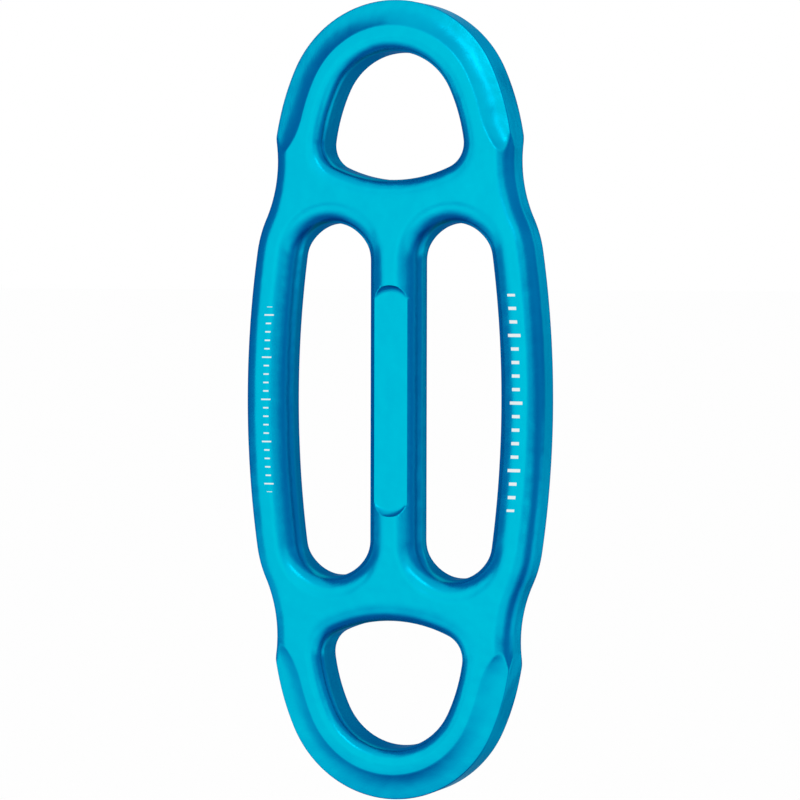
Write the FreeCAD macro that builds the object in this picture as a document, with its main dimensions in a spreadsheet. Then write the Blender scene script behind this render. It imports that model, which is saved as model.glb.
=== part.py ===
import FreeCAD, Part
import Sketcher
import math
import os
from enum import IntEnum
from types import SimpleNamespace

# Belay plate: one hot forging of aluminium alloy, anodised, with a carabiner eye at each end
# and two rope slots side by side between two bowed rails and a round middle bar.
# X runs across the plate, Y through it (the front face looks to -Y) and Z along it.
# The origin is the middle of the plate, and the forging is alike about all three planes there.
# So one eighth of it is shaped, the front upper right one, and mirrored three times.
# Half the plate's length is half a slot, the shoulder web, the eye and the crown web.

SIZES = {
    # Whole plate
    "plate_width": 59.8,
    "plate_thickness": 10.0,
    # Outline of the rails, shoulders and waists
    "rail_bow_radius": 195.0,
    "rail_bow_stop": 5.2,
    "shoulder_radius": 22.3,
    "waist_radius": 26.2,
    "hip_width": 47.6,
    "hip_rise": 5.7,
    # Outline of the eyes
    "cheek_radius": 47.4,
    "crown_radius_share": 0.457,
    # Rope slots
    "rail_width": 8.9,
    "bar_width": 10.2,
    "slot_length": 66.7,
    "slot_end_share": 0.89,
    # Carabiner eyes
    "shoulder_web": 8.1,
    "eye_height": 24.0,
    "crown_web": 9.55,
    "eye_crown_radius": 12.3,
    "eye_side_share": 0.703,
    "eye_side_radius": 33.6,
    "eye_base_radius": 27.0,
    "eye_corner_radius": 4.8,
    # Rolls on the edges, and the most that each wall leaves room for
    "slot_roll": 4.3,
    "eye_roll": 3.0,
    "edge_roll": 3.2,
    "roll_to_bar_share": 0.43,
    "roll_to_rail_share": 0.49,
    "roll_to_web_share": 0.54,
    "roll_to_thickness_share": 0.45,
    "eye_roll_to_web_share": 0.38,
    "edge_roll_to_rail_share": 0.37,
    # Bevels round the eyes
    "bevel_width": 4.4,
    "bevel_drop": 1.15,
    "rim_roll": 0.6,
    "rim_lap": 0.03,
    # Flats on the middle bar
    "flat_length": 43.4,
    "flat_depth": 0.8,
    "mill_radius": 4.5,
    # Run-out of every cut past the metal
    "overrun": 3.0,
}


class Point(IntEnum):
    """Where on a sketched edge a constraint holds."""

    START = 1
    END = 2
    CENTRE = 3


class Axis(IntEnum):
    """A sketch's own axes, as its constraints number them."""

    LEVEL = -1
    UPRIGHT = -2


START, END, CENTRE = Point
LEVEL_AXIS, UPRIGHT_AXIS = Axis
ORIGIN = (LEVEL_AXIS, START)
TOUCHING = 1e-6


def make_sheet(doc):
    """The sheet of driving sizes, one alias a row."""
    sheet = doc.addObject("Spreadsheet::Sheet", "Sizes")
    for row, (name, value) in enumerate(SIZES.items(), start=1):
        sheet.set("A%d" % row, name)
        sheet.set("B%d" % row, str(value))
        sheet.setAlias("B%d" % row, name)
    doc.recompute()
    return sheet


def polar(centre, radius, angle):
    """The point at that radius and angle from a centre."""
    return (centre[0] + radius * math.cos(angle), centre[1] + radius * math.sin(angle))


def angle_to(centre, point):
    """The direction from a centre to a point."""
    return math.atan2(point[1] - centre[1], point[0] - centre[0])


def crossing(first, first_radius, second, second_radius, side):
    """Where two circles cross, left (side 1) or right (side -1) of the way from first to second."""
    gap = math.dist(first, second)
    cosine = (first_radius ** 2 + gap ** 2 - second_radius ** 2) / (2 * first_radius * gap)
    return polar(first, first_radius, angle_to(first, second) + side * math.acos(cosine))


class Drawing:
    """A sketch on one of a body's own planes, with its sizes bound to the sheet."""

    def __init__(self, body, name, plane_role):
        plane = next(p for p in body.Origin.OriginFeatures if p.Role == plane_role)
        self.sketch = body.newObject("Sketcher::SketchObject", name)
        self.sketch.AttachmentSupport = (plane, "")
        self.sketch.MapMode = "FlatFace"

    def line(self, first, last):
        """A straight edge."""
        ends = [FreeCAD.Vector(*point, 0) for point in (first, last)]
        return self.sketch.addGeometry(Part.LineSegment(*ends), False)

    def arc(self, centre, radius, first, last):
        """An arc, anticlockwise from the first point to the last."""
        circle = Part.Circle(FreeCAD.Vector(*centre, 0), FreeCAD.Vector(0, 0, 1), radius)
        begin = angle_to(centre, first)
        sweep = (angle_to(centre, last) - begin) % (2 * math.pi)
        return self.sketch.addGeometry(Part.ArcOfCircle(circle, begin, begin + sweep), False)

    def tie(self, kind, *places):
        """A constraint without a size."""
        self.sketch.addConstraint(Sketcher.Constraint(kind, *places))

    def size(self, kind, places, expression):
        """A constraint whose size follows the sheet."""
        value = float(self.sketch.evalExpression(expression))
        index = self.sketch.addConstraint(Sketcher.Constraint(kind, *places, value))
        self.sketch.setExpression("Constraints[%d]" % index, expression)

    def across(self, place, expression):
        """How far a point lies from the origin along the sketch's level axis."""
        self.size("DistanceX", (*ORIGIN, *place), expression)

    def along(self, place, expression):
        """How far a point lies from the origin along the sketch's upright axis."""
        self.size("DistanceY", (*ORIGIN, *place), expression)


# Outline: a long bow down the rail, a round shoulder, a hollow waist, a corner at the hip,
# then the cheek and crown of the eye.
SLOT_TOP = "Sizes.slot_length / 2"
EYE_BASE = SLOT_TOP + " + Sizes.shoulder_web"
EYE_TOP = EYE_BASE + " + Sizes.eye_height"
PLATE_TOP = EYE_TOP + " + Sizes.crown_web"
HIP_HEIGHT = EYE_BASE + " + Sizes.hip_rise"
BOW_TOP = SLOT_TOP + " - Sizes.rail_bow_stop"
CROWN_RADIUS = "Sizes.hip_width * Sizes.crown_radius_share"


def plate_top(s):
    """Half the plate's length."""
    return s.slot_length / 2 + s.shoulder_web + s.eye_height + s.crown_web


def outline_places(s):
    """Centres and junctions of the quarter outline, each circle set against its neighbours."""
    at = SimpleNamespace()
    half_width = s.plate_width / 2
    eye_base = s.slot_length / 2 + s.shoulder_web
    crown_radius = s.hip_width * s.crown_radius_share
    at.side = (half_width, 0)
    at.hip = (s.hip_width / 2, eye_base + s.hip_rise)
    at.top = (0, plate_top(s))
    at.bow = (half_width - s.rail_bow_radius, 0)
    bow_angle = math.asin((s.slot_length / 2 - s.rail_bow_stop) / s.rail_bow_radius)
    at.bow_top = polar(at.bow, s.rail_bow_radius, bow_angle)
    at.shoulder = polar(at.bow, s.rail_bow_radius - s.shoulder_radius, bow_angle)
    at.waist = crossing(at.shoulder, s.shoulder_radius + s.waist_radius, at.hip, s.waist_radius, -1)
    at.turn = polar(at.shoulder, s.shoulder_radius, angle_to(at.shoulder, at.waist))
    at.crown = (0, plate_top(s) - crown_radius)
    at.cheek = crossing(at.crown, s.cheek_radius - crown_radius, at.hip, s.cheek_radius, -1)
    at.cheek_top = polar(at.crown, crown_radius, angle_to(at.cheek, at.crown))
    at.crown_radius = crown_radius
    return at


def draw_flank(drawing, at, s):
    """Rail, shoulder and waist arcs, from the level axis up to the hip."""
    rail = drawing.arc(at.bow, s.rail_bow_radius, at.side, at.bow_top)
    shoulder = drawing.arc(at.shoulder, s.shoulder_radius, at.bow_top, at.turn)
    waist = drawing.arc(at.waist, s.waist_radius, at.hip, at.turn)
    drawing.tie("Tangent", rail, END, shoulder, START)
    drawing.tie("Tangent", shoulder, END, waist, END)
    drawing.tie("PointOnObject", rail, CENTRE, LEVEL_AXIS)
    drawing.size("Radius", (rail,), "Sizes.rail_bow_radius")
    drawing.size("Radius", (shoulder,), "Sizes.shoulder_radius")
    drawing.size("Radius", (waist,), "Sizes.waist_radius")
    drawing.across((rail, START), "Sizes.plate_width / 2")
    drawing.along((rail, END), BOW_TOP)
    drawing.across((waist, START), "Sizes.hip_width / 2")
    drawing.along((waist, START), HIP_HEIGHT)
    return rail, waist


def draw_eye_side(drawing, at, s):
    """Cheek and crown arcs, from the hip up to the tip."""
    cheek = drawing.arc(at.cheek, s.cheek_radius, at.hip, at.cheek_top)
    crown = drawing.arc(at.crown, at.crown_radius, at.cheek_top, at.top)
    drawing.tie("Tangent", cheek, END, crown, START)
    drawing.tie("PointOnObject", crown, CENTRE, UPRIGHT_AXIS)
    drawing.size("Radius", (cheek,), "Sizes.cheek_radius")
    drawing.size("Radius", (crown,), CROWN_RADIUS)
    drawing.along((crown, END), PLATE_TOP)
    return cheek, crown


def blank(body, s):
    """The quarter outline, half the plate's thickness deep."""
    drawing = Drawing(body, "blank_outline", "XZ_Plane")
    at = outline_places(s)
    rail, waist = draw_flank(drawing, at, s)
    cheek, crown = draw_eye_side(drawing, at, s)
    spine = drawing.line(at.top, (0, 0))
    floor = drawing.line((0, 0), at.side)
    drawing.tie("Coincident", waist, START, cheek, START)
    drawing.tie("Coincident", crown, END, spine, START)
    drawing.tie("Coincident", spine, END, floor, START)
    drawing.tie("Coincident", floor, END, rail, START)
    drawing.tie("Coincident", spine, END, *ORIGIN)
    drawing.tie("Vertical", spine)
    drawing.tie("Horizontal", floor)
    pad = body.newObject("PartDesign::Pad", "blank")
    pad.Profile = drawing.sketch
    pad.setExpression("Length", "Sizes.plate_thickness / 2")
    return pad


# Rope slot: straight along the bar, bowed along the rail, with a nearly half-round end.
def slot_places(s):
    """Centres and junctions of the upper half of the right-hand slot."""
    at = SimpleNamespace()
    inner = s.bar_width / 2
    outer = s.plate_width / 2 - s.rail_width
    end_radius = s.slot_end_share * (outer - inner) / 2
    at.end_radius = end_radius
    at.end = (inner + end_radius, s.slot_length / 2 - end_radius)
    reach = at.end[0] - outer
    bow_radius = (end_radius ** 2 - reach ** 2 - at.end[1] ** 2) / (2 * (reach + end_radius))
    at.bow_radius = bow_radius
    at.bow = (outer - bow_radius, 0)
    at.inner_foot = (inner, 0)
    at.inner_top = (inner, at.end[1])
    at.outer_foot = (outer, 0)
    at.outer_top = polar(at.bow, bow_radius, angle_to(at.bow, at.end))
    return at


def slot(body, s):
    """Half of the right-hand slot, cut through."""
    drawing = Drawing(body, "slot_outline", "XZ_Plane")
    at = slot_places(s)
    outer = drawing.arc(at.bow, at.bow_radius, at.outer_foot, at.outer_top)
    end = drawing.arc(at.end, at.end_radius, at.outer_top, at.inner_top)
    inner = drawing.line(at.inner_top, at.inner_foot)
    foot = drawing.line(at.inner_foot, at.outer_foot)
    drawing.tie("Tangent", outer, END, end, START)
    drawing.tie("Tangent", end, END, inner, START)
    drawing.tie("Coincident", inner, END, foot, START)
    drawing.tie("Coincident", foot, END, outer, START)
    drawing.tie("PointOnObject", outer, CENTRE, LEVEL_AXIS)
    drawing.tie("PointOnObject", foot, START, LEVEL_AXIS)
    drawing.tie("Vertical", inner)
    drawing.across((inner, END), "Sizes.bar_width / 2")
    drawing.across((outer, START), "Sizes.plate_width / 2 - Sizes.rail_width")
    drawing.along((outer, START), "0")
    width = "(Sizes.plate_width / 2 - Sizes.rail_width - Sizes.bar_width / 2)"
    radius = "Sizes.slot_end_share * %s / 2" % width
    drawing.size("Radius", (end,), radius)
    drawing.along((end, CENTRE), "%s - %s" % (SLOT_TOP, radius))
    return through_cut(body, drawing, "slot")


# Carabiner eye: a gently bowed base, round lower corners, nearly straight sides and a round crown.
def eye_places(s):
    """Centres and junctions of the right half of the upper eye."""
    at = SimpleNamespace()
    base = s.slot_length / 2 + s.shoulder_web
    top = base + s.eye_height
    at.base = (0, base)
    at.top = (0, top)
    at.crown = (0, top - s.eye_crown_radius)
    rise = base + s.eye_height * s.eye_side_share - at.crown[1]
    crown_angle = math.asin(rise / s.eye_crown_radius)
    at.crown_foot = polar(at.crown, s.eye_crown_radius, crown_angle)
    at.side = polar(at.crown, s.eye_crown_radius - s.eye_side_radius, crown_angle)
    at.floor = (0, base + s.eye_base_radius)
    side_gap = s.eye_side_radius - s.eye_corner_radius
    floor_gap = s.eye_base_radius - s.eye_corner_radius
    at.corner = crossing(at.side, side_gap, at.floor, floor_gap, -1)
    at.side_foot = polar(at.side, s.eye_side_radius, angle_to(at.side, at.corner))
    at.base_end = polar(at.floor, s.eye_base_radius, angle_to(at.floor, at.corner))
    return at


def eye(body, s):
    """Half of the upper eye, cut through."""
    drawing = Drawing(body, "eye_outline", "XZ_Plane")
    at = eye_places(s)
    base = drawing.arc(at.floor, s.eye_base_radius, at.base, at.base_end)
    corner = drawing.arc(at.corner, s.eye_corner_radius, at.base_end, at.side_foot)
    side = drawing.arc(at.side, s.eye_side_radius, at.side_foot, at.crown_foot)
    crown = drawing.arc(at.crown, s.eye_crown_radius, at.crown_foot, at.top)
    middle = drawing.line(at.top, at.base)
    drawing.tie("Tangent", base, END, corner, START)
    drawing.tie("Tangent", corner, END, side, START)
    drawing.tie("Tangent", side, END, crown, START)
    drawing.tie("Coincident", crown, END, middle, START)
    drawing.tie("Coincident", middle, END, base, START)
    drawing.tie("PointOnObject", crown, CENTRE, UPRIGHT_AXIS)
    drawing.tie("PointOnObject", base, CENTRE, UPRIGHT_AXIS)
    drawing.tie("PointOnObject", middle, START, UPRIGHT_AXIS)
    drawing.tie("Vertical", middle)
    drawing.size("Radius", (base,), "Sizes.eye_base_radius")
    drawing.size("Radius", (corner,), "Sizes.eye_corner_radius")
    drawing.size("Radius", (side,), "Sizes.eye_side_radius")
    drawing.size("Radius", (crown,), "Sizes.eye_crown_radius")
    drawing.along((base, START), EYE_BASE)
    drawing.along((crown, END), EYE_TOP)
    drawing.along((crown, START), EYE_BASE + " + Sizes.eye_height * Sizes.eye_side_share")
    return through_cut(body, drawing, "eye")


def through_cut(body, drawing, name):
    """A pocket through the whole plate."""
    pocket = body.newObject("PartDesign::Pocket", name)
    pocket.Profile = drawing.sketch
    pocket.Type = "ThroughAll"
    pocket.SideType = "Symmetric"
    return pocket


# Rounded edges: the ropes run over the slots' lips, a carabiner turns in the eyes.
# A roll is never larger than the walls beside it leave room for.
SLOT_ROLL = (
    "min(Sizes.slot_roll; Sizes.bar_width * Sizes.roll_to_bar_share; "
    "Sizes.rail_width * Sizes.roll_to_rail_share; Sizes.shoulder_web * Sizes.roll_to_web_share; "
    "Sizes.plate_thickness * Sizes.roll_to_thickness_share)"
)
EYE_ROLL = (
    "min(Sizes.eye_roll; Sizes.shoulder_web * Sizes.eye_roll_to_web_share; "
    "Sizes.plate_thickness * Sizes.roll_to_thickness_share)"
)
EDGE_ROLL = (
    "min(Sizes.edge_roll; Sizes.rail_width * Sizes.edge_roll_to_rail_share; "
    "Sizes.plate_thickness * Sizes.roll_to_thickness_share)"
)


def roll_edges(body, name, base, outline, radius, ceiling):
    """A rounded edge where the front face ends over a sketched outline, up to a height."""
    body.Document.recompute()
    front = min(vertex.Y for vertex in base.Shape.Vertexes)
    picked = []
    for number, edge in enumerate(base.Shape.Edges, start=1):
        middle = edge.valueAt((edge.FirstParameter + edge.LastParameter) / 2)
        in_reach = middle.x > TOUCHING and TOUCHING < middle.z < ceiling
        on_front = abs(middle.y - front) < TOUCHING
        gap = outline.Shape.distToShape(Part.Vertex(middle.x, 0, middle.z))[0]
        if in_reach and on_front and gap < TOUCHING:
            picked.append("Edge%d" % number)
    roll = body.newObject("PartDesign::Fillet", name)
    roll.Base = (base, picked)
    roll.setExpression("Radius", radius)
    return roll


# Eye bevel: a sloped band round the outside of the eye with a small rolled rim below it.
# Past the hip it runs straight on while the waist turns in, so it narrows to a point.
RIM_TOP = PLATE_TOP + " - Sizes.rim_roll + Sizes.rim_lap"
RIM_DEPTH = "Sizes.bevel_drop + Sizes.rim_roll - Sizes.plate_thickness / 2"


def bevel_path(body, s):
    """Crown and cheek, then a straight run-out past the hip."""
    drawing = Drawing(body, "eye_bevel_path", "XZ_Plane")
    at = outline_places(s)
    cheek, crown = draw_eye_side(drawing, at, s)
    downwards = angle_to(at.cheek, at.hip) - math.pi / 2
    tail = drawing.line(polar(at.hip, s.hip_rise, downwards), at.hip)
    drawing.tie("Tangent", tail, END, cheek, START)
    drawing.size("Distance", (tail,), "Sizes.hip_rise")
    drawing.across((cheek, START), "Sizes.hip_width / 2")
    drawing.along((cheek, START), HIP_HEIGHT)
    drawing.across((crown, END), "0")
    return drawing.sketch


def bevel_section(body, s):
    """What the bevel and its rim leave above them, drawn on the middle plane at the tip."""
    drawing = Drawing(body, "eye_bevel_section", "YZ_Plane")
    top = plate_top(s)
    rim = (s.bevel_drop + s.rim_roll - s.plate_thickness / 2, top - s.rim_roll + s.rim_lap)
    above = -s.plate_thickness / 2 - s.overrun
    outside = top + s.overrun
    slope = (s.bevel_width - s.rim_roll + s.rim_lap) / s.bevel_drop
    inside = top - s.bevel_width - s.overrun * slope
    wall_end = polar(rim, s.rim_roll, math.pi / 2)
    bevel_end = polar(rim, s.rim_roll, math.pi)
    roll = drawing.arc(rim, s.rim_roll, wall_end, bevel_end)
    bevel = drawing.line(bevel_end, (above, inside))
    back = drawing.line((above, inside), (above, outside))
    cap = drawing.line((above, outside), (rim[0], outside))
    wall = drawing.line((rim[0], outside), wall_end)
    drawing.tie("Coincident", roll, END, bevel, START)
    drawing.tie("Coincident", bevel, END, back, START)
    drawing.tie("Coincident", back, END, cap, START)
    drawing.tie("Coincident", cap, END, wall, START)
    drawing.tie("Coincident", wall, END, roll, START)
    drawing.size("Radius", (roll,), "Sizes.rim_roll")
    drawing.across((roll, CENTRE), RIM_DEPTH)
    drawing.along((roll, CENTRE), RIM_TOP)
    drawing.across((roll, START), RIM_DEPTH)
    drawing.along((roll, END), RIM_TOP)
    drawing.across((cap, END), RIM_DEPTH)
    drawing.tie("Vertical", back)
    drawing.tie("Horizontal", cap)
    drawing.across((back, START), "-Sizes.plate_thickness / 2 - Sizes.overrun")
    drawing.along((cap, START), PLATE_TOP + " + Sizes.overrun")
    run = "(Sizes.bevel_width - Sizes.rim_roll + Sizes.rim_lap) / Sizes.bevel_drop"
    drawing.along((back, START), PLATE_TOP + " - Sizes.bevel_width - Sizes.overrun * " + run)
    return drawing.sketch


def eye_bevel(body, s):
    """The bevel and its rim, cut along the outside of the eye."""
    path = bevel_path(body, s)
    section = bevel_section(body, s)
    bevel = body.newObject("PartDesign::SubtractivePipe", "eye_bevel")
    bevel.Profile = (section, [])
    bevel.Spine = (path, [])
    return bevel


def bar_flat(body, s):
    """A shallow flat milled on the crown of the middle bar, with an end as round as the mill."""
    drawing = Drawing(body, "bar_flat_outline", "XZ_Plane")
    drawing.sketch.setExpression("AttachmentOffset.Base.z", "Sizes.plate_thickness / 2 - Sizes.flat_depth")
    top = s.flat_length / 2
    shoulder = top - s.mill_radius
    end = drawing.arc((0, shoulder), s.mill_radius, (s.mill_radius, shoulder), (0, top))
    middle = drawing.line((0, top), (0, 0))
    foot = drawing.line((0, 0), (s.mill_radius, 0))
    side = drawing.line((s.mill_radius, 0), (s.mill_radius, shoulder))
    drawing.tie("Coincident", end, END, middle, START)
    drawing.tie("Coincident", middle, END, foot, START)
    drawing.tie("Coincident", foot, END, side, START)
    drawing.tie("Tangent", side, END, end, START)
    drawing.tie("Coincident", foot, START, *ORIGIN)
    drawing.tie("PointOnObject", end, CENTRE, UPRIGHT_AXIS)
    drawing.tie("PointOnObject", end, END, UPRIGHT_AXIS)
    drawing.tie("Horizontal", foot)
    drawing.tie("Vertical", side)
    drawing.size("Radius", (end,), "Sizes.mill_radius")
    drawing.along((end, END), "Sizes.flat_length / 2")
    pocket = body.newObject("PartDesign::Pocket", "bar_flat")
    pocket.Profile = drawing.sketch
    pocket.Type = "Length"
    pocket.setExpression("Length", "Sizes.flat_depth + Sizes.overrun")
    pocket.Reversed = True
    return pocket


def mirrored(body, name, plane_role):
    """The whole shape so far, doubled about one of the body's planes."""
    body.Document.recompute()
    double = body.newObject("PartDesign::Mirrored", name)
    double.TransformMode = "Whole shape"
    double.MirrorPlane = (next(p for p in body.Origin.OriginFeatures if p.Role == plane_role), [""])
    body.Tip = double


def forge(doc, s):
    """The plate: a blank is pierced, rolled, bevelled and milled, then mirrored.

    The roll along the flank runs out by itself where the cheek turns away at the hip.
    """
    body = doc.addObject("PartDesign::Body", "plate")
    body.Label = "plate"
    plain = blank(body, s)
    rope_slot = slot(body, s)
    clip_eye = eye(body, s)
    tip = plate_top(s)
    hip_height = outline_places(s).hip[1]
    lip = roll_edges(body, "slot_lip", clip_eye, rope_slot.Profile[0], SLOT_ROLL, tip)
    lip = roll_edges(body, "eye_lip", lip, clip_eye.Profile[0], EYE_ROLL, tip)
    roll_edges(body, "flank_roll", lip, plain.Profile[0], EDGE_ROLL, hip_height)
    eye_bevel(body, s)
    bar_flat(body, s)
    mirrored(body, "both_sides", "YZ_Plane")
    mirrored(body, "both_ends", "XY_Plane")
    mirrored(body, "both_faces", "XZ_Plane")
    doc.recompute()
    return body


def check_cuts(body):
    """Stop if a feature that takes metal away has left as much as it found."""
    before = None
    for feature in body.Group:
        if feature.TypeId == "Sketcher::SketchObject":
            continue
        takes_metal = feature.TypeId not in ("PartDesign::Pad", "PartDesign::Mirrored")
        if takes_metal and feature.Shape.Volume >= before:
            raise RuntimeError("%s takes no metal away" % feature.Label)
        before = feature.Shape.Volume


def check(doc, bodies):
    """Stop if any object failed, or if a body has no single sound solid."""
    for item in doc.Objects:
        failed = {"Invalid", "Error"} & set(item.State)
        if failed:
            raise RuntimeError("%s is %s" % (item.Label, sorted(failed)))
    for body in bodies:
        if body.Shape.isNull() or not body.Shape.isValid() or len(body.Shape.Solids) != 1:
            raise RuntimeError("%s has no sound solid" % body.Label)


doc = FreeCAD.newDocument("belay_plate")
bodies = [forge(doc, make_sheet(doc))]
check(doc, bodies)
for body in bodies:
    check_cuts(body)
os.makedirs("parts", exist_ok=True)
for body in bodies:
    body.Shape.exportStep("parts/%s.step" % body.Label)
    print("%s: %.0f cubic mm" % (body.Label, body.Shape.Volume))
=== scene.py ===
import math

import bpy
import numpy as np
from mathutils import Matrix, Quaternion, Vector
from mathutils.geometry import delaunay_2d_cdt


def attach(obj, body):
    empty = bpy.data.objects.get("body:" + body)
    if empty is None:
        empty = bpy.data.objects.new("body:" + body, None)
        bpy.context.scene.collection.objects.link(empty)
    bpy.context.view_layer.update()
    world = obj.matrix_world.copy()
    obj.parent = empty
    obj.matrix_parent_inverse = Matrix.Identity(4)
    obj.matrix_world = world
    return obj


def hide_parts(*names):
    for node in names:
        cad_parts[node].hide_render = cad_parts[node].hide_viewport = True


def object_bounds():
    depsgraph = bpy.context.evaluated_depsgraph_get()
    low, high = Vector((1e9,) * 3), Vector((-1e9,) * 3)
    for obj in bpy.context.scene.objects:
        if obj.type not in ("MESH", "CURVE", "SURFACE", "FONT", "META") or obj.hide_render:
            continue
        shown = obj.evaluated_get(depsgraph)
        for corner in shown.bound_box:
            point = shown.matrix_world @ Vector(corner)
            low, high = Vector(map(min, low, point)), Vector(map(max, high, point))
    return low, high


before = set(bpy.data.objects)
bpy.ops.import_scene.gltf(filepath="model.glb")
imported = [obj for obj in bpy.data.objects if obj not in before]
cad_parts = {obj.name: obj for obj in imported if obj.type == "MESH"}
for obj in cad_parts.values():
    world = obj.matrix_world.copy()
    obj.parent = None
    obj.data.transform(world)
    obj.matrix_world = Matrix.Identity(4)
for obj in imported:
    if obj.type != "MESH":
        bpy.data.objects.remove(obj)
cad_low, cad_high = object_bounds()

# The forging's outline and openings. The real plate is hot forged from one bar of aluminium alloy
# between two dies, trimmed and pierced. It is alike left and right, end to end and front and back,
# so one eighth is worked out, the front upper right one, and mirrored three times.
MM = 0.001
HALF_WIDTH = cad_high.x
HALF_DEPTH = cad_high.y
HALF_LENGTH = cad_high.z

RAIL_BOW_RADIUS = 195.0 * MM
RAIL_BOW_STOP = 5.2 * MM
SHOULDER_RADIUS = 22.3 * MM
WAIST_RADIUS = 26.2 * MM
HIP_WIDTH = 47.6 * MM
HIP_RISE = 5.7 * MM
CHEEK_RADIUS = 47.4 * MM
CROWN_SHARE = 0.457
CROWN_RADIUS = CROWN_SHARE * HIP_WIDTH
RAIL_WIDTH = 8.9 * MM
BAR_WIDTH = 10.2 * MM
SLOT_LENGTH = 66.7 * MM
SLOT_END_SHARE = 0.89
SHOULDER_WEB = 8.1 * MM
EYE_HEIGHT = 24.0 * MM
EYE_CROWN_RADIUS = 12.3 * MM
EYE_SIDE_SHARE = 0.703
EYE_SIDE_RADIUS = 33.6 * MM
EYE_BASE_RADIUS = 27.0 * MM
EYE_CORNER_RADIUS = 4.8 * MM
STEP = 0.5 * MM


def polar(centre, radius, angle):
    """The point at that radius and angle from a centre."""
    return (centre[0] + radius * math.cos(angle), centre[1] + radius * math.sin(angle))


def angle_to(centre, point):
    """The direction from a centre to a point."""
    return math.atan2(point[1] - centre[1], point[0] - centre[0])


def crossing(first, first_radius, second, second_radius, side):
    """Where two circles cross, left (side 1) or right (side -1) of the way from first to second."""
    gap = math.dist(first, second)
    cosine = (first_radius ** 2 + gap ** 2 - second_radius ** 2) / (2 * first_radius * gap)
    return polar(first, first_radius, angle_to(first, second) + side * math.acos(cosine))


def arc(centre, radius, first, last, metal):
    """An arc the short way from first to last, with the metal outside (1) or inside it (-1)."""
    begin = angle_to(centre, first)
    turn = (angle_to(centre, last) - begin + math.pi) % (2 * math.pi) - math.pi
    return {"centre": centre, "radius": radius, "begin": begin, "turn": turn, "metal": metal}


def straight(first, last, metal):
    """A straight run, with the metal on that side: a unit vector."""
    return {"first": first, "last": last, "metal": metal}


def run_length(run):
    """The length of an arc or a straight run."""
    if "first" in run:
        return math.dist(run["first"], run["last"])
    return abs(run["radius"] * run["turn"])


def walk(runs):
    """Points along the runs, a step or less apart, and at each the way into the metal."""
    places, inward = [], []
    for run in runs:
        share = np.linspace(0, 1, math.ceil(run_length(run) / run.get("step", STEP)) + 1)
        if run is not runs[-1]:
            share = share[:-1]
        if "first" in run:
            way = np.subtract(run["last"], run["first"])
            places.append(np.array(run["first"]) + np.outer(share, way))
            inward.append(np.tile(run["metal"], (len(share), 1)))
        else:
            angle = run["begin"] + share * run["turn"]
            ray = np.stack([np.cos(angle), np.sin(angle)], axis=1)
            places.append(np.array(run["centre"]) + run["radius"] * ray)
            inward.append(run["metal"] * ray)
    return np.concatenate(places), np.concatenate(inward)


def gap_to(runs, places):
    """How far each place lies inside the metal from the runs, square to them."""
    gap = np.full(len(places), HALF_LENGTH)
    for run in runs:
        if "first" in run:
            way = np.subtract(run["last"], run["first"])
            offset = places - run["first"]
            share = offset @ way / (way @ way)
            reach = offset @ np.array(run["metal"])
        else:
            offset = places - run["centre"]
            angle = np.arctan2(offset[:, 1], offset[:, 0])
            along = (angle - run["begin"] + math.pi) % (2 * math.pi) - math.pi
            share = along / run["turn"]
            reach = run["metal"] * (np.hypot(offset[:, 0], offset[:, 1]) - run["radius"])
        beside = (share >= 0) & (share <= 1)
        gap = np.where(beside & (np.abs(reach) < np.abs(gap)), reach, gap)
    return gap


def outline():
    """Rail, shoulder and waist up to the hip, then cheek and crown up to the tip."""
    slot_top = SLOT_LENGTH / 2
    hip = (HIP_WIDTH / 2, slot_top + SHOULDER_WEB + HIP_RISE)
    bow = (HALF_WIDTH - RAIL_BOW_RADIUS, 0)
    bow_angle = math.asin((slot_top - RAIL_BOW_STOP) / RAIL_BOW_RADIUS)
    bow_top = polar(bow, RAIL_BOW_RADIUS, bow_angle)
    shoulder = polar(bow, RAIL_BOW_RADIUS - SHOULDER_RADIUS, bow_angle)
    waist = crossing(shoulder, SHOULDER_RADIUS + WAIST_RADIUS, hip, WAIST_RADIUS, -1)
    turn = polar(shoulder, SHOULDER_RADIUS, angle_to(shoulder, waist))
    crown = (0, HALF_LENGTH - CROWN_RADIUS)
    cheek = crossing(crown, CHEEK_RADIUS - CROWN_RADIUS, hip, CHEEK_RADIUS, -1)
    cheek_top = polar(crown, CROWN_RADIUS, angle_to(cheek, crown))
    flank = [
        arc(bow, RAIL_BOW_RADIUS, (HALF_WIDTH, 0), bow_top, -1),
        arc(shoulder, SHOULDER_RADIUS, bow_top, turn, -1),
        arc(waist, WAIST_RADIUS, turn, hip, 1),
    ]
    eye_side = [
        arc(cheek, CHEEK_RADIUS, hip, cheek_top, -1),
        arc(crown, CROWN_RADIUS, cheek_top, (0, HALF_LENGTH), -1),
    ]
    return flank, eye_side, hip


def slot_edge():
    """Up the bar, round the end and down the rail."""
    inner, outer = BAR_WIDTH / 2, HALF_WIDTH - RAIL_WIDTH
    radius = SLOT_END_SHARE * (outer - inner) / 2
    end = (inner + radius, SLOT_LENGTH / 2 - radius)
    reach = end[0] - outer
    bow_radius = (radius ** 2 - reach ** 2 - end[1] ** 2) / (2 * (reach + radius))
    bow = (outer - bow_radius, 0)
    outer_top = polar(bow, bow_radius, angle_to(bow, end))
    end_top = (end[0], end[1] + radius)
    return [
        straight((inner, 0), (inner, end[1]), (-1, 0)),
        arc(end, radius, (inner, end[1]), end_top, 1),
        arc(end, radius, end_top, outer_top, 1),
        arc(bow, bow_radius, outer_top, (outer, 0), 1),
    ]


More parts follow.
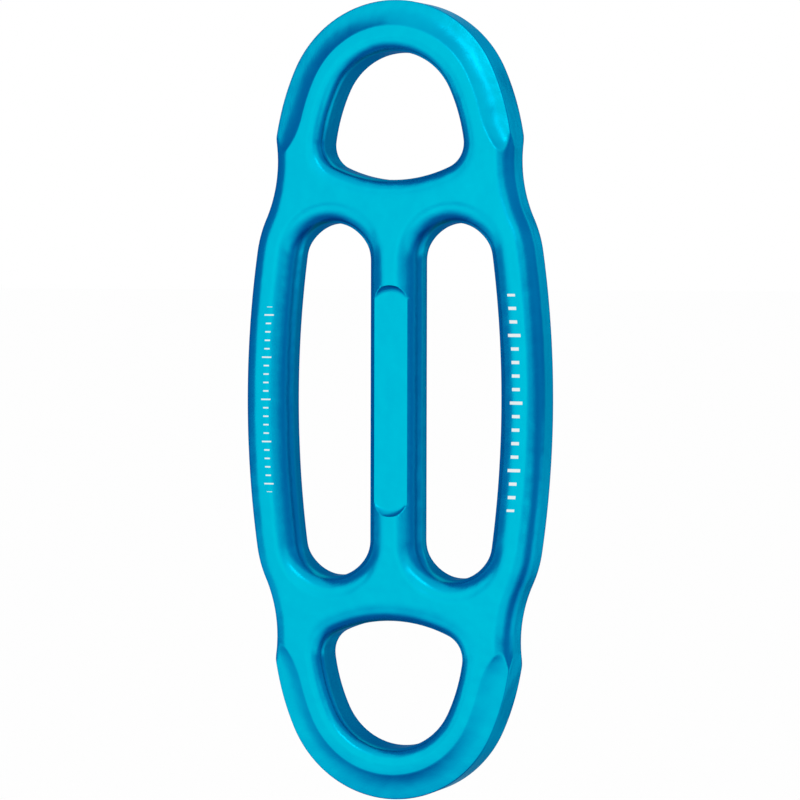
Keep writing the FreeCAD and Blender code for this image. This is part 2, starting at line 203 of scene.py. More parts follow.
def eye_edge():
    """Along the base, round the corner, up the side and round the crown."""
    base = SLOT_LENGTH / 2 + SHOULDER_WEB
    top = base + EYE_HEIGHT
    crown = (0, top - EYE_CROWN_RADIUS)
    crown_angle = math.asin((base + EYE_HEIGHT * EYE_SIDE_SHARE - crown[1]) / EYE_CROWN_RADIUS)
    crown_foot = polar(crown, EYE_CROWN_RADIUS, crown_angle)
    side = polar(crown, EYE_CROWN_RADIUS - EYE_SIDE_RADIUS, crown_angle)
    floor = (0, base + EYE_BASE_RADIUS)
    side_gap = EYE_SIDE_RADIUS - EYE_CORNER_RADIUS
    corner = crossing(side, side_gap, floor, EYE_BASE_RADIUS - EYE_CORNER_RADIUS, -1)
    side_foot = polar(side, EYE_SIDE_RADIUS, angle_to(side, corner))
    base_end = polar(floor, EYE_BASE_RADIUS, angle_to(floor, corner))
    return [
        arc(floor, EYE_BASE_RADIUS, (0, base), base_end, 1),
        arc(corner, EYE_CORNER_RADIUS, base_end, side_foot, 1),
        arc(side, EYE_SIDE_RADIUS, side_foot, crown_foot, 1),
        arc(crown, EYE_CROWN_RADIUS, crown_foot, (0, top), 1),
    ]


# The forging's surface. Its edges come out of the dies rounded: a deep roll where a rope runs over
# the slots, smaller ones in the eyes and on the flanks, and round each eye a hollow sloped band
# with a small rolled rim. A shallow flat is milled on the middle bar afterwards.

# The slots: the roll along the sides, and the step, rim and smaller roll at the ends.
SLOT_ROLL = 4.3 * MM
SLOT_END_FROM = 0.25
SLOT_END_WHOLE = 0.95
SLOT_MOUTH_ROLL = 3.0 * MM
SLOT_RIM_STEP = 0.19 * MM
SLOT_RIM_FROM = 2.9 * MM
SLOT_RIM_TO = 4.3 * MM

# The eyes: the roll, and the lip that slopes towards it.
EYE_ROLL = 2.3 * MM
EYE_MOUTH_AT_BASE = 1.7 * MM
EYE_MOUTH_AT_CROWN = 0.8 * MM
EYE_MOUTH_FROM = EYE_HEIGHT / 8
EYE_MOUTH_TO = EYE_HEIGHT / 3
EYE_MOUTH_SLOPE = math.tan(math.radians(11))

# The flanks' roll, and the band round the outside of each eye with its crease and rim.
EDGE_ROLL = 3.2 * MM
BEVEL_WIDTH = 4.8 * MM
BEVEL_CROWN = 1.2 * MM
BEVEL_CROWN_SLOPE = math.tan(math.radians(6))
BEVEL_SCOOP = 3.2 * MM
BEVEL_STEEP = math.tan(math.radians(27))
BEVEL_LEDGE = math.tan(math.radians(8))
BEVEL_NARROWS = 54.0 * MM
BEVEL_CLOSES = 45.5 * MM
RIM_ROLL = 0.2 * MM
CREASE = 0.1 * MM
HIP_BLEND = 2.0 * MM

# The flat on the middle bar, with its round ends and hollow run-outs.
FLAT_HALF_LENGTH = 21.7 * MM
FLAT_DEPTH = 0.8 * MM
FLAT_ROUND = 4.5 * MM
FLAT_RUN_OUT = 1.8 * MM
FLAT_CREASE = 3.3 * MM

# How finely the surface is divided: steps along the edges, rows across them, and the land.
FLAT_STEP = 0.15 * MM
FLAT_FINE = 2.0 * MM
FLAT_BEND = 9.0 * MM
CREASE_ROW = 0.15 * MM
LAND_STEP = 1.1 * MM
LAND_MARGIN = 0.55 * LAND_STEP
WALL_ROWS = 5
RIM_ROWS = 4
BAND_ROWS = 14
BAND_EDGE_ROWS = 6
BAR_ROWS = 9
SLOT_ROLL_ROWS = 12
SLOT_EDGE_ROWS = 3
EYE_ROLL_ROWS = 11
EYE_MOUTH_ROWS = 5
SHARP_ANGLE = math.radians(30)
SAME_PLACE = 1e-4 * MM
TOUCHING = 1e-9

flank, eye_side, hip = outline()
slot_runs = slot_edge()
eye_runs = eye_edge()


def eased(low, high, at):
    """From 0 below low to 1 above high, level at both ends: 3t^2 - 2t^3."""
    share = np.clip((at - low) / (high - low), 0, 1)
    return share * share * (3 - 2 * share)


def roll_drop(gap, radius):
    """A quarter-round roll's depth below the face: radius - sqrt(radius^2 - (radius - gap)^2)."""
    inside = radius - np.clip(gap, 0, radius)
    return radius - np.sqrt(np.maximum(radius ** 2 - inside ** 2, 0))


def bevel_width(up):
    """The band's width at a height. It is whole above, and narrows to the hip along a quarter
    ellipse: width * sqrt(1 - share^2)."""
    share = np.clip((BEVEL_NARROWS - up) / (BEVEL_NARROWS - BEVEL_CLOSES), 0, 1)
    return BEVEL_WIDTH * np.sqrt(1 - share ** 2)


def bevel_drop(gap, width):
    """The band round an eye: the land rounds off a little before its crease, then the band is
    steepest, hollowed out to a gentle ledge, and ends in the rim's quarter round. In the hollow the
    slope falls evenly: steep * d - (steep - ledge) * d^2 / (2 * scoop)."""
    out = np.maximum(width - np.maximum(gap, RIM_ROLL), 0)
    scoop = np.minimum(out, BEVEL_SCOOP)
    hollow = BEVEL_STEEP * scoop - (BEVEL_STEEP - BEVEL_LEDGE) * scoop ** 2 / (2 * BEVEL_SCOOP)
    crown = np.clip(width + BEVEL_CROWN - gap, 0, BEVEL_CROWN) * width / BEVEL_WIDTH
    rounded = BEVEL_CROWN_SLOPE * crown ** 2 / (2 * BEVEL_CROWN)
    return rounded + hollow + BEVEL_LEDGE * (out - scoop) + roll_drop(gap, RIM_ROLL)


def slot_drop(places, gap):
    """One deep roll along the sides. At the ends the die has left a faint step down to a narrow
    rim, and the rim ends in a smaller roll. The sine of the way from the end's centre, eased,
    turns one into the other."""
    offset = places - slot_runs[1]["centre"]
    sine = offset[:, 1] / np.hypot(offset[:, 0], offset[:, 1])
    at_end = eased(SLOT_END_FROM, SLOT_END_WHOLE, sine)
    rim = SLOT_RIM_STEP * (1 - eased(SLOT_RIM_FROM, SLOT_RIM_TO, gap))
    at_sides = roll_drop(gap, SLOT_ROLL)
    return at_sides + at_end * (rim + roll_drop(gap, SLOT_MOUTH_ROLL) - at_sides)


def eye_mouth(up):
    """The width of the eye's sloping lip: more at the eye's base than round its crown."""
    base = eye_runs[0]["centre"][1] - EYE_BASE_RADIUS
    share = eased(base + EYE_MOUTH_FROM, base + EYE_MOUTH_TO, up)
    return EYE_MOUTH_AT_BASE + (EYE_MOUTH_AT_CROWN - EYE_MOUTH_AT_BASE) * share


def eye_drop(width, gap):
    """A slope that grows evenly, slope * d^2 / (2 * width), and then the roll."""
    out = np.clip(EYE_ROLL + width - gap, 0, width)
    return EYE_MOUTH_SLOPE * out ** 2 / (2 * width) + roll_drop(gap, EYE_ROLL)


def soft_max(first, second, width):
    """The larger of two, plus near^2 * width / 4 where they are less than the width apart."""
    near = np.maximum(width - np.abs(first - second), 0) / width
    return np.maximum(first, second) + near ** 2 * width / 4


def outer_drop(places):
    """Flank roll and eye bevel together. Each runs on past the hip, the roll under the cheek and
    the bevel along a straight tangent, and the deeper one wins. On the land, where both are
    nothing, the soft maximum is a quarter of the crease, so that much comes off everywhere."""
    waist = flank[-1]
    ray = places - waist["centre"]
    past_waist = np.hypot(ray[:, 0], ray[:, 1]) - waist["radius"]
    flank_gap = np.where(places[:, 1] > hip[1], past_waist, gap_to(flank, places))
    cheek_ray = angle_to(eye_side[0]["centre"], hip)
    tail_gap = -(places - hip) @ np.array([math.cos(cheek_ray), math.sin(cheek_ray)])
    eye_gap = np.where(places[:, 1] > hip[1], gap_to(eye_side, places), tail_gap)
    in_reach = places[:, 1] > hip[1] - HIP_RISE
    bevel = np.where(in_reach, bevel_drop(np.maximum(eye_gap, 0), bevel_width(places[:, 1])), 0)
    return soft_max(roll_drop(flank_gap, EDGE_ROLL), bevel, CREASE) - CREASE / 4


def spread(length, *stretches):
    """Gaps from the wall, a row of that length each, in stretches of (end, count). The rows are
    closest together near the wall, and an end may differ from column to column."""
    rows, begin = [np.zeros((1, length))], np.zeros(length)
    for end, count in stretches:
        share = np.linspace(0, 1, count + 1)[1:, None]
        rows.append(begin + (end - begin) * (share ** 2 if len(rows) == 1 else share))
        begin = np.broadcast_to(end, length)
    return np.concatenate(rows)


def hip_turned(places, inward):
    """The way into the metal, turned evenly from one side of the hip's corner to the other."""
    along = np.concatenate([[0], np.cumsum(np.hypot(*np.diff(places, axis=0).T))])
    corner = along[np.argmin(np.hypot(*(places - hip).T))]
    angle = np.unwrap(np.arctan2(inward[:, 1], inward[:, 0]))
    ends = [corner - HIP_BLEND, corner + HIP_BLEND]
    between = np.interp(along, ends, np.interp(ends, along, angle))
    angle = np.where(np.abs(along - corner) < HIP_BLEND, between, angle)
    return np.stack([np.cos(angle), np.sin(angle)], axis=1)


def flat_end(across):
    """How far up the bar the flat reaches, with its round end: half - r + sqrt(r^2 - x^2)."""
    reach = np.clip(np.abs(across), 0, FLAT_CREASE)
    return FLAT_HALF_LENGTH - FLAT_ROUND + np.sqrt(FLAT_ROUND ** 2 - reach ** 2)


def flat_drop(places):
    """The flat's depth. Near its end the floor curves up to the face along a hollow round, by
    r - sqrt(r^2 - past^2)."""
    run_out = math.sqrt(FLAT_RUN_OUT ** 2 - (FLAT_RUN_OUT - FLAT_DEPTH) ** 2)
    past = np.clip(places[:, 1] - flat_end(places[:, 0]) + run_out, 0, FLAT_RUN_OUT)
    lift = FLAT_RUN_OUT - np.sqrt(FLAT_RUN_OUT ** 2 - past ** 2)
    return np.where(places[:, 0] < BAR_WIDTH / 2, FLAT_DEPTH - lift, 0)


def bent_to_flat(places):
    """Places on the bar, moved along it so that one row follows the round of the flat's end."""
    end = FLAT_HALF_LENGTH
    near = np.interp(places[..., 1], [end - FLAT_BEND, end, slot_runs[0]["last"][1]], [0, 1, 0])
    near = near * (places[..., 0] < BAR_WIDTH / 2 + TOUCHING)
    moved = places.copy()
    moved[..., 1] += near * (flat_end(places[..., 0]) - end)
    return moved


def ring_rows(places, inward, gaps, wall_top, drop_at, bend=np.copy):
    """Rows of points from the middle plane up the wall and over the edge onto the face.

    Each row is the edge line moved into the metal by its gap, then bent. Its height is the half
    depth less the drop there. Row and column become the two directions of a grid.
    """
    up = np.linspace(0, 1, WALL_ROWS + 1)[:-1]
    foot = bend(places)
    wall = [np.stack([foot[:, 0], -share * wall_top, foot[:, 1]], axis=1) for share in up]
    moved = bend(places + gaps[:, :, None] * inward)
    drop = drop_at(moved.reshape(-1, 2), gaps.ravel()).reshape(gaps.shape)
    face = np.stack([moved[..., 0], drop - HALF_DEPTH, moved[..., 1]], axis=-1)
    return np.concatenate([np.stack(wall), face])


def outer_rows():
    """The wall, roll, bevel and rim along the whole quarter outline. Where the crease leaves the
    last row a hair low, it is set level with the face."""
    places, inward = walk(flank + eye_side)
    inward = hip_turned(places, inward)
    crease = np.maximum(bevel_width(places[:, 1]), EDGE_ROLL / 2)
    crown = BEVEL_CROWN * bevel_width(places[:, 1]) / BEVEL_WIDTH
    reach = np.maximum(crease + crown, EDGE_ROLL) + CREASE_ROW
    band = [(RIM_ROLL, RIM_ROWS), (crease, BAND_ROWS)]
    edge = [(crease + CREASE_ROW / 2, 1), (reach, BAND_EDGE_ROWS)]
    gaps = spread(len(places), *band, *edge)
    wall_top = HALF_DEPTH - outer_drop(places)
    rows = ring_rows(places, inward, gaps, wall_top, lambda moved, gap: outer_drop(moved))
    rows[-1, :, 1] = -HALF_DEPTH
    return rows


def slot_rows():
    """The wall and roll along the upper half of the right-hand slot. On the bar the rows run on
    to its middle, and the ones near the flat's end bend to its round."""
    bar = slot_runs[0]
    heights = [0, FLAT_HALF_LENGTH - FLAT_FINE, FLAT_HALF_LENGTH, bar["last"][1]]
    stops = [(BAR_WIDTH / 2, height) for height in heights]
    parts = [straight(a, b, bar["metal"]) for a, b in zip(stops, stops[1:])]
    parts[1]["step"] = FLAT_STEP
    places, inward = walk(parts + slot_runs[1:])
    on_bar = 1 - eased(0, slot_runs[1]["radius"], places[:, 0] - BAR_WIDTH / 2)
    reach = SLOT_ROLL + CREASE_ROW + (BAR_WIDTH / 2 - SLOT_ROLL - CREASE_ROW) * on_bar
    to_flat = BAR_WIDTH / 2 - FLAT_CREASE
    stretches = [(to_flat, BAR_ROWS), (SLOT_ROLL, SLOT_ROLL_ROWS), (reach, SLOT_EDGE_ROWS)]
    gaps = spread(len(places), *stretches)

    def drop_at(moved, gap):
        return np.maximum(slot_drop(moved, gap), flat_drop(moved))

    wall_top = HALF_DEPTH - slot_drop(places, np.zeros(len(places)))
    return ring_rows(places, inward, gaps, wall_top, drop_at, bent_to_flat)


def eye_rows():
    """The wall and roll along the right half of the upper eye."""
    places, inward = walk(eye_runs)
    width = eye_mouth(places[:, 1])
    gaps = spread(len(places), (EYE_ROLL, EYE_ROLL_ROWS), (EYE_ROLL + width, EYE_MOUTH_ROWS))
    widths = np.tile(width, len(gaps))
    wall_top = HALF_DEPTH - eye_drop(width, np.zeros(len(places)))
    return ring_rows(places, inward, gaps, wall_top, lambda moved, gap: eye_drop(widths, gap))


def grid_faces(rows):
    """Quads between neighbouring rows and columns of points."""
    count, length = rows.shape[:2]
    number = np.arange(count * length).reshape(count, length)
    quads = [number[:-1, :-1], number[:-1, 1:], number[1:, 1:], number[1:, :-1]]
    return np.stack([q.ravel() for q in quads], axis=1)


def facing_front(points, faces):
    """The faces, turned over if together they look to the back."""
    a, b, c = (points[faces[:, k]] for k in range(3))
    if np.cross(b - a, c - a)[:, 1].sum() > 0:
        return faces[:, ::-1]
    return faces


def land(edges):
    """The flat land between the rings, filled with near-even triangles."""
    outer, slot_ring, eye_ring = (edge[:, [0, 2]] for edge in edges)
    bar_top = np.flatnonzero(slot_ring[:, 0] < TOUCHING)[-1]
    border = np.concatenate([outer, eye_ring[::-1], slot_ring[bar_top:]])
    across = np.arange(LAND_STEP / 2, HALF_WIDTH, LAND_STEP)
    up = np.arange(LAND_STEP / 2, HALF_LENGTH, LAND_STEP * math.sqrt(3) / 2)
    inner = np.stack(np.meshgrid(across, up), axis=-1).reshape(-1, 2)
    inner[:, 0] += (np.arange(len(inner)) // len(across) % 2) * LAND_STEP / 2
    nearest = np.min(np.hypot(*(inner[:, None] - border[None]).transpose(2, 0, 1)), axis=1)
    inner = inner[nearest > LAND_MARGIN]
    places = [Vector(place) for place in np.concatenate([border, inner])]
    ring = [(k, (k + 1) % len(border)) for k in range(len(border))]
    made = delaunay_2d_cdt(places, ring, [list(range(len(border)))], 1, SAME_PLACE)
    flat = np.array([tuple(v) for v in made[0]])
    front = np.full(len(flat), -HALF_DEPTH)
    return np.stack([flat[:, 0], front, flat[:, 1]], axis=1), np.array(made[2])


def quarter():
    """Points and faces of the front upper right quarter."""
    rings = [outer_rows(), slot_rows(), eye_rows()]
    points, quads, first = [], [], 0
    for rows in rings:
        flat = rows.reshape(-1, 3)
        quads.append(facing_front(flat, grid_faces(rows)) + first)
        points.append(flat)
        first += len(flat)
    land_points, land_faces = land([rows[-1] for rows in rings])
    land_faces = facing_front(land_points, land_faces) + first
    return np.concatenate(points + [land_points]), np.concatenate(quads), land_faces


def mirrored(points, faces_by_size, axis):
    """The mesh doubled about the plane square to that axis."""
    other = points.copy()
    other[:, axis] *= -1
    doubled = [np.concatenate([f, f[:, ::-1] + len(points)]) for f in faces_by_size]
    return np.concatenate([points, other]), doubled


def welded(points, faces_by_size):
    """The mesh with points in one place made one."""
    keys = np.round(points / SAME_PLACE).astype(np.int64)
    _, first, new = np.unique(keys, axis=0, return_index=True, return_inverse=True)
    new = new.ravel()
    return points[first], [new[f] for f in faces_by_size]


def in_scene(name, data):
    """An object at the origin, made from its mesh, lamp or camera data."""
    made = bpy.data.objects.new(name, data)
    bpy.context.scene.collection.objects.link(made)
    return made


def solid_piece(name, points, faces_by_size):
    """A mesh object from its points and its faces, smooth shaded."""
    mesh = bpy.data.meshes.new(name)
    faces = [tuple(face) for group in faces_by_size for face in group.tolist()]
    mesh.from_pydata(points.tolist(), [], faces)
    mesh.validate()
    mesh.polygons.foreach_set("use_smooth", np.ones(len(mesh.polygons), bool))
    mesh.set_sharp_from_angle(angle=SHARP_ANGLE)
    mesh.update()
    return in_scene(name, mesh)


points, quads, triangles = quarter()
faces_by_size = [quads, triangles]
for axis in (0, 2, 1):
    points, faces_by_size = mirrored(points, faces_by_size, axis)
points, faces_by_size = welded(points, faces_by_size)
plate = solid_piece("forged_plate", points, faces_by_size)
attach(plate, "root")
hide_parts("plate")


# The finish: tumbled, which leaves it faintly wavy, finely blasted, then anodised a bright sky
# blue with a satin sheen. The dye takes a little unevenly, and each rail carries a plain scale of
# ticks, lasered white through the dye.
DYE = (0.0, 0.54, 0.735, 1)
DYE_DEEP = (0.0, 0.50, 0.70, 1)
GRAZING_TINT = (0.02, 0.47, 0.72, 1)
SATIN_ROUGHNESS = 0.22
SATIN_VARIES = 0.06
RELIEF_HEIGHT = 0.2 * MM
RELIEF_STRENGTH = 0.65
GRAIN_SHARE = 0.15
MARK_WHITE = (0.86, 0.90, 0.90, 1)
MARK_ROUGHNESS = 0.6
MARK_SOFT = 0.05 * MM
LONG_EVERY = 5

# Each noise is its scale per metre and its detail.
DYE_CLOUDS = (140, 3)
SATIN_CLOUDS = (900, 2)
BLASTED_GRAIN = (4000, 3)
TUMBLED_WAVES = (260, 1)

# The scales on the rails: where their middle line lies, how far they run, and the ticks' sizes.
LEFT_SCALE = {
    "side": -1, "middle": 25.1 * MM, "half_run": 17.6 * MM, "pitch": 1.6 * MM,
    "half_line": 0.16 * MM, "half_short": 0.55 * MM, "half_long": 0.95 * MM,
}
RIGHT_SCALE = {
    "side": 1, "middle": 25.1 * MM, "half_run": 20.2 * MM, "pitch": 2.5 * MM,
    "half_line": 0.32 * MM, "half_short": 0.8 * MM, "half_long": 1.3 * MM,
}

finish = bpy.data.materials.new("anodised_alloy")
finish.use_nodes = True
nodes, links = finish.node_tree.nodes, finish.node_tree.links
place = nodes.new("ShaderNodeTexCoord").outputs["Object"]
axes = nodes.new("ShaderNodeSeparateXYZ")
links.new(place, axes.inputs[0])


def feed(socket, value):
    """Gives a socket its number or colour, or links it to another node's output."""
    if isinstance(value, bpy.types.NodeSocket):
        links.new(value, socket)
    else:
        socket.default_value = value


def maths(operation, *values):
    """A maths node, in the material being made, on numbers or on other nodes' outputs."""
    node = nodes.new("ShaderNodeMath")
    node.operation = operation
    for socket, value in zip(node.inputs, values):
        feed(socket, value)
    return node.outputs[0]


def within(value, half):
    """1 where the value is less than half either way, 0 beyond, with a soft edge:
    (half - |value|) / soft, kept between 0 and 1."""
    inside = maths("SUBTRACT", half, maths("ABSOLUTE", value))
    return maths("MINIMUM", maths("MAXIMUM", maths("DIVIDE", inside, MARK_SOFT), 0), 1)


def ticks(side, middle, half_run, pitch, half_line, half_short, half_long):
    """A scale along the crown of the rail on that side, with every fifth tick longer. It follows
    the rail's bow: across = middle - up^2 / (2 * radius). Ping-pong over half a pitch gives the
    way to the nearest tick."""
    up = axes.outputs["Z"]
    bow = maths("DIVIDE", maths("MULTIPLY", up, up), 2 * RAIL_BOW_RADIUS)
    outward = maths("MULTIPLY", axes.outputs["X"], side)
    across = maths("SUBTRACT", outward, maths("SUBTRACT", middle, bow))
    is_long = within(maths("PINGPONG", up, LONG_EVERY * pitch / 2), pitch / 4)
    half = maths("ADD", maths("MULTIPLY", is_long, half_long - half_short), half_short)
    lines = within(maths("PINGPONG", up, pitch / 2), half_line)
    on_front = maths("LESS_THAN", axes.outputs["Y"], 0)
    scale = maths("MULTIPLY", maths("MULTIPLY", lines, within(across, half)), within(up, half_run))
    return maths("MULTIPLY", scale, on_front)


def noise(scale, detail):
    """Even noise fixed to the plate."""
    node = nodes.new("ShaderNodeTexNoise")
    node.inputs["Scale"].default_value = scale
    node.inputs["Detail"].default_value = detail
    links.new(place, node.inputs["Vector"])
    return node.outputs["Fac"]


def mixed(factor, first, second):
    """One colour turning into another."""
    node = nodes.new("ShaderNodeMix")
    node.data_type = "RGBA"
    feed(node.inputs["Factor"], factor)
    feed(node.inputs["A"], first)
    feed(node.inputs["B"], second)
    return node.outputs["Result"]


marks = maths("MAXIMUM", ticks(**LEFT_SCALE), ticks(**RIGHT_SCALE))
dye = mixed(noise(*DYE_CLOUDS), DYE, DYE_DEEP)
shader = nodes["Principled BSDF"]
links.new(mixed(marks, dye, MARK_WHITE), shader.inputs["Base Color"])
links.new(maths("SUBTRACT", 1, marks), shader.inputs["Metallic"])
satin = maths("ADD", maths("MULTIPLY", noise(*SATIN_CLOUDS), SATIN_VARIES), SATIN_ROUGHNESS)
on_marks = maths("MULTIPLY", marks, MARK_ROUGHNESS)
links.new(maths("MAXIMUM", satin, on_marks), shader.inputs["Roughness"])
shader.inputs["Specular Tint"].default_value = GRAZING_TINT
bump = nodes.new("ShaderNodeBump")
bump.inputs["Strength"].default_value = RELIEF_STRENGTH
bump.inputs["Distance"].default_value = RELIEF_HEIGHT
grain = maths("MULTIPLY", noise(*BLASTED_GRAIN), GRAIN_SHARE)
links.new(maths("ADD", grain, noise(*TUMBLED_WAVES)), bump.inputs["Height"])
links.new(bump.outputs["Normal"], shader.inputs["Normal"])
plate.data.materials.append(finish)


# The floor: a pale seamless sheet some way below the hanging plate. It is lit like the rest, and
# a faint glow of its own for the camera brings it level with the white room. The plate itself
# reflects the tent instead.
FLOOR_DROP = 0.12
FLOOR_HALF = 60.0
FLOOR_COLOUR = (0.86, 0.86, 0.86, 1)
FLOOR_GLOW = 0.13
WHITE = (1, 1, 1, 1)


def flat_sheet(name, corners):
    """A mesh of one four-cornered face."""
    mesh = bpy.data.meshes.new(name)
    mesh.from_pydata(corners, [], [(0, 1, 2, 3)])
    return mesh


def bare_material(name):
    """A material with nothing in it but its output. Returns it, its nodes, its links and the
    output's surface, to which they are to lead."""
    made = bpy.data.materials.new(name)
    made.use_nodes = True
    tree = made.node_tree
    tree.nodes.clear()
    surface = tree.nodes.new("ShaderNodeOutputMaterial").inputs["Surface"]
    return made, tree.nodes, tree.links, surface


floor_level = -HALF_LENGTH - FLOOR_DROP
ways = [(-1, -1), (1, -1), (1, 1), (-1, 1)]
floor_corners = [(x * FLOOR_HALF, y * FLOOR_HALF, floor_level) for x, y in ways]
floor_mesh = flat_sheet("floor", floor_corners)
floor = in_scene("floor", floor_mesh)
sheet, nodes, links, surface = bare_material("floor_sheet")
matte = nodes.new("ShaderNodeBsdfDiffuse")
matte.inputs["Color"].default_value = FLOOR_COLOUR
seen = nodes.new("ShaderNodeLightPath").outputs["Is Camera Ray"]
glow = nodes.new("ShaderNodeEmission")
glow.inputs["Color"].default_value = WHITE
links.new(maths("MULTIPLY", seen, FLOOR_GLOW), glow.inputs["Strength"])
total = nodes.new("ShaderNodeAddShader")
links.new(matte.outputs[0], total.inputs[0])
links.new(glow.outputs[0], total.inputs[1])
links.new(total.outputs[0], surface)
floor_mesh.materials.append(sheet)
floor.visible_glossy = False


# The room: plain white. It lights the floor evenly, and above the floor it is the background that
# the camera sees.
world = bpy.data.worlds.new("white_room")
bpy.context.scene.world = world
world.use_nodes = True
background = world.node_tree.nodes["Background"]
background.inputs["Color"].default_value = WHITE
background.inputs["Strength"].default_value = 1.0


# The tent: a photographer's cloth tent round the plate, whitest ahead and a little to the left,
# pale behind, and dim blue at the sides and low down. The satin metal shows its rolls only by what
# it reflects.
TENT_RADIUS = 1.2
TENT_STEP = 3
CLOTH_RED = 0.8
CLOTH_BLUE = 0.5
CLOTH_BLUE_BEHIND = 0.85
BEHIND_FROM, BEHIND_WHOLE = 135, 155
ABOVE_FROM, ABOVE_WHOLE = -2, 14
BELOW_FROM, BELOW_WHOLE = 2, 14

# How bright the cloth is, as (bearing, brightness): level with the plate, above it and below it.
TENT_LEVEL = [
    (-180, 0.72), (-162, 0.72), (-150, 0.30), (-135, 0.22), (-60, 0.22), (-48, 0.30),
    (-36, 0.96), (-24, 0.96), (-14, 1.25), (-6, 1.15), (0, 0.78), (12, 0.48),
    (24, 0.34), (36, 0.25), (50, 0.19), (70, 0.17), (84, 0.23), (95, 0.27),
    (115, 0.20), (138, 0.20), (148, 0.46), (156, 0.72), (180, 0.72),
]
TENT_ABOVE = [
    (-180, 0.8), (-160, 0.8), (-140, 0.25), (-60, 0.22), (-46, 0.3), (-34, 0.95),
    (-20, 1.03), (-10, 0.98), (2, 0.85), (14, 0.88), (28, 1.0), (40, 0.8),
    (54, 0.35), (140, 0.30), (150, 0.9), (180, 0.9),
]
TENT_BELOW = [
    (-180, 0.8), (-150, 0.7), (-120, 0.75), (-62, 0.75), (-48, 1.15), (-38, 1.2),
    (-24, 0.98), (-5, 1.1), (40, 1.2), (55, 0.7), (70, 0.30), (100, 0.30),
    (118, 0.85), (150, 0.95), (180, 1.0),
]

# What that is multiplied by, as (lift, share).
TENT_LIFTS = [
    (-90, 0.14), (-62, 0.14), (-52, 0.16), (-42, 0.36), (-32, 0.56), (-22, 0.66),
    (-12, 0.96), (20, 1.0), (28, 0.78), (42, 0.80), (58, 0.72), (76, 0.62), (90, 0.5),
]


def by_table(table, at):
    """The value between the table's rows, along straight lines."""
    return np.interp(at, *np.transpose(table))


def tent():
    """A sphere coloured point by point: brightness by bearing, in degrees from the front towards
    the right, times a share by lift, in degrees above level. Blue is a power of green, so that dim
    cloth is bluer, less so behind the plate."""
    bearings, lifts = np.meshgrid(np.arange(-180, 181, TENT_STEP), np.arange(-90, 91, TENT_STEP))
    level = by_table(TENT_LEVEL, bearings)
    above = (by_table(TENT_ABOVE, bearings) - level) * eased(ABOVE_FROM, ABOVE_WHOLE, lifts)
    below = (by_table(TENT_BELOW, bearings) - level) * eased(BELOW_FROM, BELOW_WHOLE, -lifts)
    bright = (level + above + below) * by_table(TENT_LIFTS, lifts)
    behind = eased(BEHIND_FROM, BEHIND_WHOLE, np.abs(bearings))
    blue = bright ** (CLOTH_BLUE + (CLOTH_BLUE_BEHIND - CLOTH_BLUE) * behind)
    bearing, lift = np.radians(bearings), np.radians(lifts)
    around = [np.sin(bearing) * np.cos(lift), -np.cos(bearing) * np.cos(lift), np.sin(lift)]
    cloth = TENT_RADIUS * np.stack(around, axis=-1)
    mesh = bpy.data.meshes.new("tent")
    mesh.from_pydata(cloth.reshape(-1, 3).tolist(), [], grid_faces(cloth).tolist())
    tone = np.stack([CLOTH_RED * bright, bright, blue, np.ones(bright.shape)], axis=-1)
    colours = mesh.color_attributes.new("tone", "FLOAT_COLOR", "POINT")
    colours.data.foreach_set("color", tone.ravel())
    return in_scene("tent", mesh)


def only_reflected(thing):
    """Keeps it from the camera's sight, from lighting the floor and from casting a shadow."""
    thing.visible_camera = False
    thing.visible_diffuse = False
    thing.visible_shadow = False


tent_cloth, nodes, links, surface = bare_material("tent_cloth")
tone = nodes.new("ShaderNodeAttribute")
tone.attribute_name = "tone"
glow = nodes.new("ShaderNodeEmission")
links.new(tone.outputs["Color"], glow.inputs["Color"])
links.new(glow.outputs[0], surface)
tent_stand = tent()
tent_stand.data.materials.append(tent_cloth)
only_reflected(tent_stand)


# The painted shade card: a dim glowing card behind the plate, seen only in reflections. It paints
# the shade that the walls inside the slots and eyes reflect, so they stand out against the white,
# while the outer walls look past it.
PAINTED_SHADE_LEFT, PAINTED_SHADE_RIGHT = -70 * MM, 47 * MM
PAINTED_SHADE_HALF_HEIGHT = 90 * MM
PAINTED_SHADE_BEHIND = 100 * MM
# The card's dim blue glow is painted shade, seen only in the plate's reflections.
PAINTED_SHADE_TONE = (0.18, 0.28, 0.43, 1)

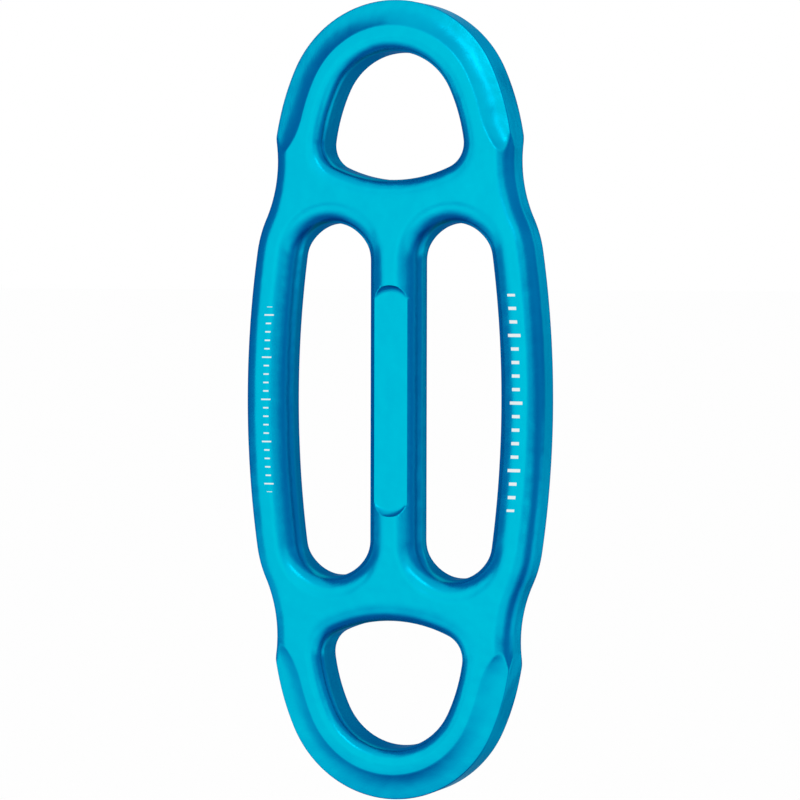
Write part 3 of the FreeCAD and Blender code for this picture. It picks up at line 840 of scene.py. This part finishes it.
painted_shade_card_foot = [(x, PAINTED_SHADE_BEHIND, -PAINTED_SHADE_HALF_HEIGHT) for x in (PAINTED_SHADE_LEFT, PAINTED_SHADE_RIGHT)]
painted_shade_card_head = [(x, PAINTED_SHADE_BEHIND, PAINTED_SHADE_HALF_HEIGHT) for x in (PAINTED_SHADE_RIGHT, PAINTED_SHADE_LEFT)]
painted_shade_card_mesh = flat_sheet("painted_shade_card", painted_shade_card_foot + painted_shade_card_head)
painted_shade_card = in_scene("painted_shade_card", painted_shade_card_mesh)
painted_shade_material, nodes, links, surface = bare_material("painted_shade_card_material")
# The card glows with the painted shade's tone. It is no lamp and no real card.
glow = nodes.new("ShaderNodeEmission")
glow.inputs["Color"].default_value = PAINTED_SHADE_TONE
links.new(glow.outputs[0], surface)
painted_shade_card_mesh.materials.append(painted_shade_material)
only_reflected(painted_shade_card)


# The lamp: a small soft panel light on a stand, ahead of the plate and a little above it. It lays
# a gentle highlight along the rolled edges.
PANEL_BEARING = math.radians(2)
PANEL_LIFT = math.radians(20)
PANEL_DISTANCE = 1.1
PANEL_WIDTH = 0.20
PANEL_POWER = 0.28


def facing_plate(thing, bearing, lift, distance, roll=0):
    """Stands it at a bearing from the front, a lift and a distance, looking at the plate's
    middle: the way there is (sin b cos l, -cos b cos l, sin l)."""
    level = math.cos(lift)
    way = Vector((math.sin(bearing) * level, -math.cos(bearing) * level, math.sin(lift)))
    thing.location = way * distance
    thing.rotation_mode = "QUATERNION"
    upright = (-way).to_track_quat("-Z", "Y")
    thing.rotation_quaternion = upright @ Quaternion((0, 0, 1), roll)


panel = bpy.data.lights.new("soft_panel", "AREA")
panel.shape = "RECTANGLE"
panel.size = PANEL_WIDTH
panel.size_y = PANEL_WIDTH
panel.energy = PANEL_POWER
panel_stand = in_scene("soft_panel", panel)
facing_plate(panel_stand, PANEL_BEARING, PANEL_LIFT, PANEL_DISTANCE)


# The camera: a long lens at the photograph's angle, a little to the right and above, and shifted
# by a hair to its framing.
VIEW_YAW = math.radians(21.0)
VIEW_PITCH = math.radians(1.9)
VIEW_ROLL = math.radians(0.13)
VIEW_DISTANCE = 0.70
VIEW_SHIFT_X = 0.0016
VIEW_SHIFT_Y = 0.0005
VIEW_FARTHEST = 200.0
FRAME_WIDTH = 150.75 * MM

camera = bpy.data.cameras.new("camera")
camera_stand = in_scene("camera", camera)
bpy.context.scene.camera = camera_stand
facing_plate(camera_stand, VIEW_YAW, VIEW_PITCH, VIEW_DISTANCE, VIEW_ROLL)
camera.lens = camera.sensor_width * VIEW_DISTANCE / FRAME_WIDTH
camera.shift_x = VIEW_SHIFT_X
camera.shift_y = VIEW_SHIFT_Y
camera.clip_end = VIEW_FARTHEST
bpy.context.scene.view_settings.view_transform = "Standard"
